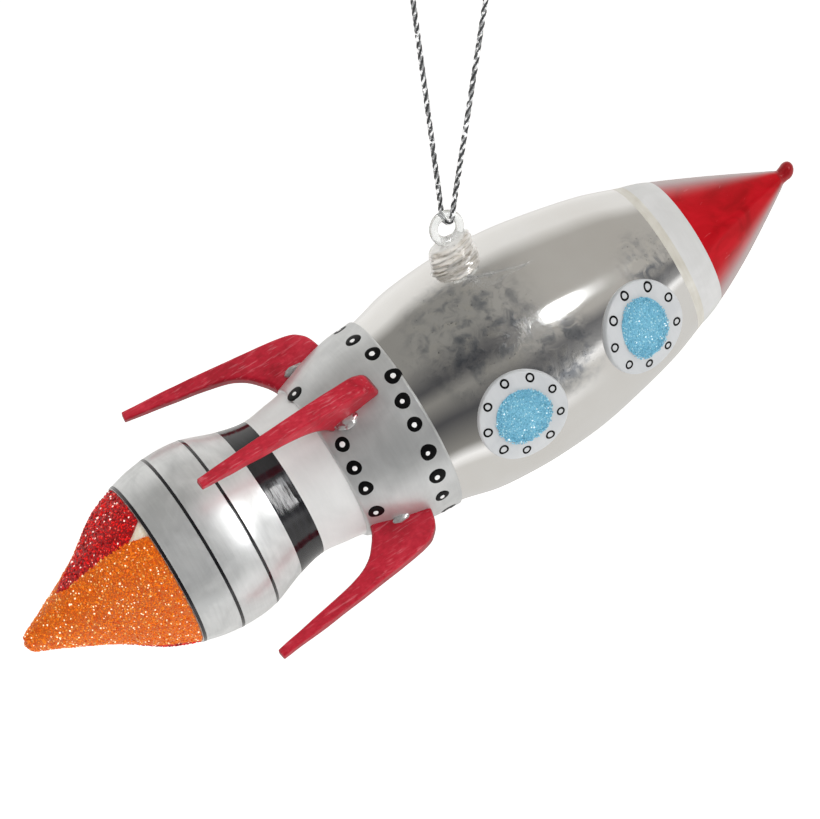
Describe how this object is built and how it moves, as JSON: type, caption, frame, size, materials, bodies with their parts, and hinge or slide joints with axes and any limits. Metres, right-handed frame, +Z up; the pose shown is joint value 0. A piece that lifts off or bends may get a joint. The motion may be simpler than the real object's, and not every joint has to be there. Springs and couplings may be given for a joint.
{
  "type": "hanging glass rocket ornament",
  "caption": "Blown-glass rocket ornament with swept fins, raised round portholes and a glitter flame, hanging nose-up from a clear glass ring on a cord loop.",
  "frame": {"origin": "flat seat under the crown of the cord loop, where a hook or a branch carries it", "axes": "+X horizontal towards the nose, +Y to the rocket's left side, +Z up; the rocket hangs below the origin, nose up"},
  "size_m": [0.1361, 0.0416, 0.1295],
  "materials": {
    "silvered_glass": "polished",
    "red_lacquer": "polished",
    "white_satin": "satin",
    "frosted_silver": "satin",
    "black_gloss": "gloss",
    "orange_glitter": "satin",
    "red_glitter": "satin",
    "blue_glitter": "satin",
    "fin_crimson": "satin",
    "white_paint": "satin",
    "clear_glass": "gloss",
    "silver_cord": "satin"
  },
  "bodies": {
    "cord": {"cord_crown_length": "silver_cord", "cord_front_length": "silver_cord", "cord_knot": "silver_cord"},
    "cord_bight": {"cord_bight": "silver_cord"},
    "rocket": {"nose_tip_bead": "red_lacquer", "nose_cone": "red_lacquer", "nose_band": "white_satin", "hull_shell": "silvered_glass", "riveted_collar": "frosted_silver", "neck_shell": "white_satin", "black_band": "black_gloss", "engine_bulb": "frosted_silver", "flame_cone": "white_satin", "flame_orange_glitter": "orange_glitter", "flame_red_glitter_top": "red_glitter", "flame_red_glitter_bottom": "red_glitter", "fin_upper_left": "fin_crimson", "fin_lower_left": "fin_crimson", "fin_lower_right": "fin_crimson", "fin_upper_right": "fin_crimson", "fin_upper_left_weld": "clear_glass", "fin_lower_left_weld": "clear_glass", "fin_lower_right_weld": "clear_glass", "fin_upper_right_weld": "clear_glass", "porthole_aft_left": "white_paint", "porthole_aft_right": "white_paint", "porthole_forward_left": "white_paint", "porthole_forward_right": "white_paint", "window_aft_left": "blue_glitter", "window_aft_right": "blue_glitter", "window_forward_left": "blue_glitter", "window_forward_right": "blue_glitter", "hanger_stub": "clear_glass", "hanger_ring": "clear_glass"}
  },
  "joints": [
    {"name": "side_swing", "type": "hinge", "parent": "cord", "child": "cord_bight", "pos_m": [0, 0, -0.062], "axis": [1, 0, 0], "range_deg": [-70, 70]},
    {"name": "fore_aft_tilt", "type": "hinge", "parent": "cord_bight", "child": "rocket", "pos_m": [0, 0, -0.0643], "axis": [0, 1, 0], "range_deg": [-50, 80]}
  ]
}
